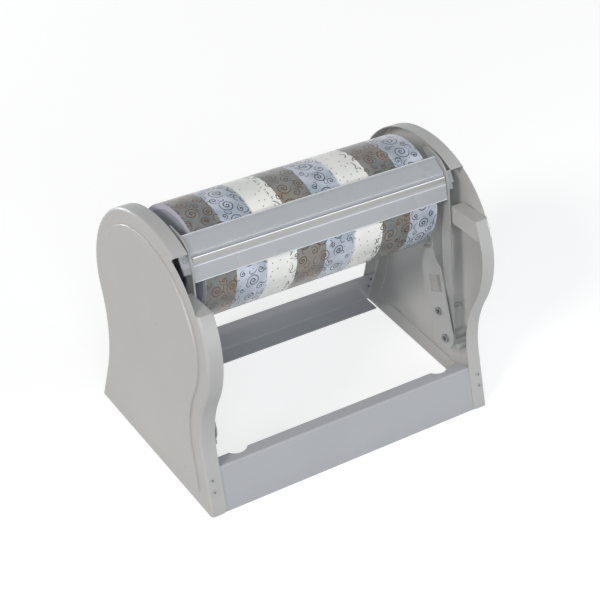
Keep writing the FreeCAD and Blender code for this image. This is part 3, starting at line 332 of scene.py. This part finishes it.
def scrolls(g, along, girth, count, shift, radius, turns, half):
    """One opening spiral in each cell of a square net: its size, place, turn and hand are random.
    The net has count cells round the roll, and half is half the width of the printed line."""
    step = 2.0 * math.pi * ROLL_RADIUS / count
    column, across = cell(g, along, step, shift)
    row, up = cell(g, girth, step, shift)
    row = g.math("FLOORED_MODULO", row, float(count))
    seed = shift + 3.0
    size = g.span(g.chance(column, row, seed), radius * 0.62, radius)
    room = g.sub(radius * 1.05, size)
    move_a = g.mul(g.span(g.chance(column, row, seed + 2.0), -1.0, 1.0), room)
    move_b = g.mul(g.span(g.chance(column, row, seed + 4.0), -1.0, 1.0), room)
    hand = g.math("SIGN", g.sub(g.chance(column, row, seed + 6.0), 0.5))
    p = g.mul(g.sub(across, move_a), hand)
    q = g.sub(up, move_b)
    turn = g.math("DIVIDE", g.math("ARCTAN2", q, p), 2.0 * math.pi)
    turn = g.add(turn, g.chance(column, row, seed + 8.0))
    part = g.math("DIVIDE", g.length(p, q), size)
    coil = g.add(g.mul(g.math("POWER", part, 0.75), turns), turn)
    pitch = g.mul(g.math("POWER", part, 0.25), g.math("DIVIDE", size, 0.75 * turns))
    gap = g.mul(g.math("WRAP", coil, 0.5, -0.5), pitch)
    swell = g.math("MULTIPLY_ADD", part, -0.5 * half, 1.4 * half)
    stroke = g.math("LESS_THAN", g.abs(gap), swell)
    inside = g.math("LESS_THAN", part, 1.0)
    return g.mul(stroke, inside)


def scatter(g, along, girth, count, share, radius, seed):
    """Round dots dropped at random into a share of the cells of a square net."""
    step = 2.0 * math.pi * ROLL_RADIUS / count
    column, across = cell(g, along, step, 0.0)
    row, up = cell(g, girth, step, 0.0)
    room = step * 0.5 - radius * 1.3
    move_a = g.span(g.chance(column, row, seed + 11.0), -room, room)
    move_b = g.span(g.chance(column, row, seed + 23.0), -room, room)
    far = g.length(g.sub(across, move_a), g.sub(up, move_b))
    dot = g.fade(far, radius * 0.8, radius * 1.2)
    chosen = g.math("LESS_THAN", g.chance(column, row, seed + 37.0), share)
    return g.mul(dot, chosen)


def cloudy(g, scale, detail, dark, light):
    """A tone that drifts between two colours."""
    return g.mix(g.ramp(g.noise(scale, detail), 0.35, 0.65), dark, light)


def gift_paper(name):
    """Printed paper: broad bands round the roll with scattered scroll ornament, and wound edges
    at the roll's ends, with a painted highlight on their rims."""
    g = Graph(name)
    x, y, z = g.axes()
    dy = g.sub(y, ROLL_Y)
    dz = g.sub(z, ROLL_Z)
    reach = g.length(dy, dz)
    girth = g.mul(g.math("ARCTAN2", g.mul(dy, -1.0), dz), ROLL_RADIUS)
    along = g.add(x, ROLL_HALF_LENGTH)

    # Three bands that repeat from the left end: taupe, frost and cream.
    ragged = g.mul(g.sub(g.noise(260.0, 2.0), 0.5), 0.004)
    place = g.math("FLOORED_MODULO", g.add(along, ragged), BAND * 3.0)
    in_taupe = g.fade(place, BAND - 0.0003, BAND + 0.0003)
    in_cream = g.ramp(place, BAND * 2.0 - 0.003, BAND * 2.0 + 0.003)
    taupe = cloudy(g, 26.0, 3.0, rgb(98, 103, 104), rgb(130, 131, 127))
    brown = g.mul(g.ramp(g.noise(11.0, 2.0), 0.45, 0.65), 0.6)
    taupe = g.mix(brown, taupe, rgb(140, 116, 90))
    frost = cloudy(g, 17.0, 2.0, rgb(160, 172, 184), rgb(208, 213, 227))
    cream = cloudy(g, 22.0, 2.0, rgb(240, 240, 235), rgb(252, 250, 245))

    # The scrolls cover the first two bands and the end of the third, which has specks as well.
    large = scrolls(g, along, girth, count=18, shift=0.0, radius=0.0165, turns=2.3, half=0.00092)
    small = scrolls(g, along, girth, count=18, shift=0.5, radius=0.0092, turns=1.7, half=0.00078)
    seeds = scatter(g, along, girth, count=60, share=0.25, radius=0.0009, seed=0.0)
    specks = scatter(g, along, girth, count=52, share=0.55, radius=0.0012, seed=7.3)
    hooks = scrolls(g, along, girth, count=24, shift=0.25, radius=0.0125, turns=0.55, half=0.0008)
    curls = g.math("MAXIMUM", large, small)
    ornament = g.math("MAXIMUM", curls, g.math("MAXIMUM", hooks, seeds))
    fringe = g.mul(ornament, g.ramp(place, BAND * 2.74, BAND * 2.80))
    taupe = g.mix(ornament, taupe, rgb(92, 66, 46))
    frost = g.mix(ornament, frost, rgb(52, 58, 74))
    cream = g.mix(g.math("MAXIMUM", specks, fringe), cream, rgb(84, 74, 68))
    printed = g.mix(in_cream, g.mix(in_taupe, frost, taupe), cream)

    # Ends of the roll: fine rings of wound paper in grey, with a painted highlight, a pale ring
    # on the outermost wraps where the rim catches the light.
    end = g.ramp(g.abs(x), ROLL_HALF_LENGTH - 0.0004, ROLL_HALF_LENGTH - 0.0001)
    rings = g.noise(1.0, 2.0, 0.6, g.vector(g.mul(reach, 2600.0), 0.0, 0.0))
    rim_highlight = g.ramp(reach, RIM_HIGHLIGHT_RADIUS - 0.001, RIM_HIGHLIGHT_RADIUS + 0.001)
    inner_tone = g.mix(rings, rgb(140, 144, 152), rgb(178, 182, 190))
    rim_highlight_tone = g.mix(rings, rgb(176, 174, 192), rgb(222, 220, 236))
    wound = g.mix(rim_highlight, inner_tone, rim_highlight_tone)

    ink = g.mul(g.flip(end), g.mul(in_taupe, ornament))
    sheen = g.span(g.noise(240.0, 3.0), 0.26, 0.38)
    cockle = g.noise(1.0, 3.0, 0.5, g.vector(g.mul(x, 14.0), g.mul(girth, 30.0), 0.0))
    edges = g.mul(g.mul(rings, end), 0.4)
    g.set("Base Color", g.mix(end, printed, wound))
    g.set("Metallic", g.mul(ink, 0.5))
    g.set("Roughness", g.add(sheen, g.mul(end, 0.4)))
    g.set("Coat Weight", 0.35)
    g.set("Coat Roughness", 0.12)
    g.bump(g.add(cockle, edges), 0.0004, 0.5)
    return g.material


def give(material, *names):
    """Lay one material over whole pieces."""
    for name in names:
        data = nodes[name].data
        data.materials.clear()
        data.materials.append(material)
        for polygon in data.polygons:
            polygon.material_index = 0


def seen(tree):
    """1 for what the camera sees directly or in gloss or glass, and 0 for other light."""
    path = tree.nodes.new("ShaderNodeLightPath")
    last = path.outputs["Is Camera Ray"]
    for name in ("Is Glossy Ray", "Is Transmission Ray"):
        node = tree.nodes.new("ShaderNodeMath")
        node.operation = "MAXIMUM"
        tree.links.new(last, node.inputs[0])
        tree.links.new(path.outputs[name], node.inputs[1])
        last = node.outputs[0]
    return last


def make_floor():
    """Pale floor, which the camera sees as white with the object's shadow on it."""
    low, high = -FLOOR_REACH, FLOOR_REACH
    corners = [(low, low, 0), (high, low, 0), (high, high, 0), (low, high, 0)]
    mesh = bpy.data.meshes.new("floor")
    mesh.from_pydata(corners, [], [(0, 1, 2, 3)])
    floor = bpy.data.objects.new("floor", mesh)
    floor.location.z = -FLOOR_DROP
    scene.collection.objects.link(floor)
    g = Graph("floor_paper")
    g.set("Base Color", rgb(170, 170, 170))
    g.set("Roughness", 0.9)
    g.set("Specular IOR Level", 0.1)
    glow = g.tree.nodes.new("ShaderNodeEmission")
    g.link((FLOOR_GLOW, FLOOR_GLOW, FLOOR_GLOW, 1.0), glow.inputs["Color"])
    g.link(seen(g.tree), glow.inputs["Strength"])
    total = g.tree.nodes.new("ShaderNodeAddShader")
    g.link(g.shader.outputs[0], total.inputs[0])
    g.link(glow.outputs[0], total.inputs[1])
    g.link(total.outputs[0], g.tree.nodes["Material Output"].inputs["Surface"])
    mesh.materials.append(g.material)


def make_sky():
    """Cool sky, at full strength where it is seen and dim as a light."""
    world = bpy.data.worlds.new("world")
    world.use_nodes = True
    scene.world = world
    tree = world.node_tree
    sky = tree.nodes["Background"]
    sky.inputs["Color"].default_value = (0.93, 0.965, 1.0, 1.0)
    strength = tree.nodes.new("ShaderNodeMath")
    strength.operation = "MULTIPLY_ADD"
    tree.links.new(seen(tree), strength.inputs[0])
    strength.inputs[1].default_value = 1.0 - SKY_LEVEL
    strength.inputs[2].default_value = SKY_LEVEL
    tree.links.new(strength.outputs[0], sky.inputs["Strength"])


def make_sun():
    """Soft warm key light from the left."""
    data = bpy.data.lights.new("key", "SUN")
    data.energy = 1.3
    data.color = (1.0, 0.955, 0.915)
    data.angle = math.radians(14.0)
    sun = bpy.data.objects.new("key", data)
    sun.rotation_euler = Vector((-0.82, -0.22, 0.53)).to_track_quat("Z", "Y").to_euler()
    scene.collection.objects.link(sun)


def make_lamp(name, place, target, size, power, color):
    """Soft rectangular lamp that faces its target."""
    data = bpy.data.lights.new(name, "AREA")
    data.shape = "RECTANGLE"
    data.size, data.size_y = size
    data.energy = power
    data.color = color
    lamp = bpy.data.objects.new(name, data)
    lamp.location = place
    facing = Vector(target) - Vector(place)
    lamp.rotation_euler = facing.to_track_quat("-Z", "Y").to_euler()
    scene.collection.objects.link(lamp)


scene.view_settings.view_transform = "Standard"
make_camera()
make_floor()
make_sky()
make_sun()
for lamp in LAMPS:
    make_lamp(*lamp)

# The panels' dimples carry painted shade.
give(powder_coat("panel_coat", rgb(183, 182, 180), roughness=0.34, dimples=PANEL_DIMPLES),
     "left_end_panel", "right_end_panel")
give(powder_coat("rail_coat", rgb(176, 177, 181), roughness=0.30),
     "front_rail", "back_rail")
give(powder_coat("arm_coat", rgb(168, 169, 168), roughness=0.32),
     "left_axle_bracket", "right_axle_bracket", "left_cutter_arm", "right_cutter_arm",
     "left_arm_lug", "right_arm_lug", "left_stop_pin", "right_stop_pin",
     "left_pivot_boss", "right_pivot_boss", "left_bracket_spacer", "right_bracket_spacer")
# The cutter bar's bends carry painted highlight lines.
give(powder_coat("cutter_coat", rgb(174, 176, 180), roughness=0.26, bends=PLATE_BENDS),
     "bar_carrier", "upper_plate", "lower_plate")
# The bracket screws and pivot bolts carry painted shade in their sockets.
give(metal("zinc", rgb(150, 152, 154), roughness=0.42, squeeze=EVEN_GRAIN, wear_and_highlight_share=0.3,
           shaded_sockets=(BRACKET_SCREW, PIVOT_BOLT)),
     "bracket_screws", "bar_end_screws", "left_pivot_bolt", "right_pivot_bolt")
give(metal("shaft_steel", rgb(176, 178, 180), roughness=0.34, squeeze=EVEN_GRAIN, wear_and_highlight_share=0.25),
     "roll_shaft", "left_shaft_collar", "right_shaft_collar")
# The blade's bend carries a painted highlight line.
give(metal("blade_steel", rgb(168, 167, 165), roughness=0.40, squeeze=DRAWN_GRAIN, wear_and_highlight_share=0.1,
           bends=BLADE_BENDS),
     "tear_blade")
# The rail screws carry painted shade in their crosses.
give(painted_screw("painted_screw", rgb(176, 177, 177)),
     "front_rail_screws", "back_rail_screws")
give(moulded("nylon", rgb(222, 218, 208)),
     "left_axle_bush", "right_axle_bush", "left_pivot_bush", "right_pivot_bush")
give(moulded("plug_plastic", rgb(78, 80, 88)),
     "left_core_plug", "right_core_plug")
give(card("core_board", rgb(150, 118, 86)),
     "core_tube")
give(gift_paper("gift_paper"),
     "paper_roll")
